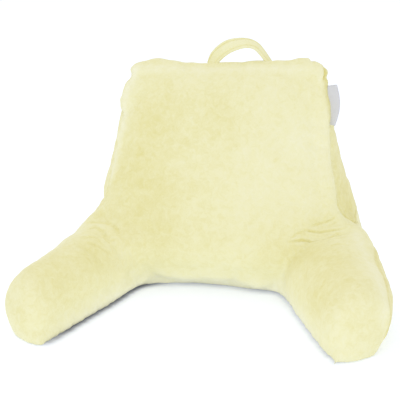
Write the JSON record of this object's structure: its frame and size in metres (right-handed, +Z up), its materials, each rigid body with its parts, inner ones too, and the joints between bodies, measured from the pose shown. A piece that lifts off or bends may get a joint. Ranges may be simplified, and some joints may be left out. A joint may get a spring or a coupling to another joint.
{
  "type": "reading pillow",
  "caption": "Bed-rest reading pillow of soft plush: a stuffed leaning backrest with splayed arms, a strap handle on top and a small bare side tab.",
  "frame": {"origin": "middle of the footprint's box, on the floor", "axes": "+Z up; -Y is the way the backrest faces and the arms reach; +X is the side with the tab, on the right as seen from the front"},
  "size_m": [0.7336, 0.5732, 0.502],
  "materials": {
    "plush_cover": "short-pile pale yellow velour plush",
    "plush_strap": "the same plush, folded and stitched along its length",
    "woven_tape": "light grey narrow woven tape, plain"
  },
  "bodies": {
    "root": {"pillow_body": "plush_cover", "carry_handle": "plush_strap", "side_tab": "woven_tape"}
  },
  "joints": []
}
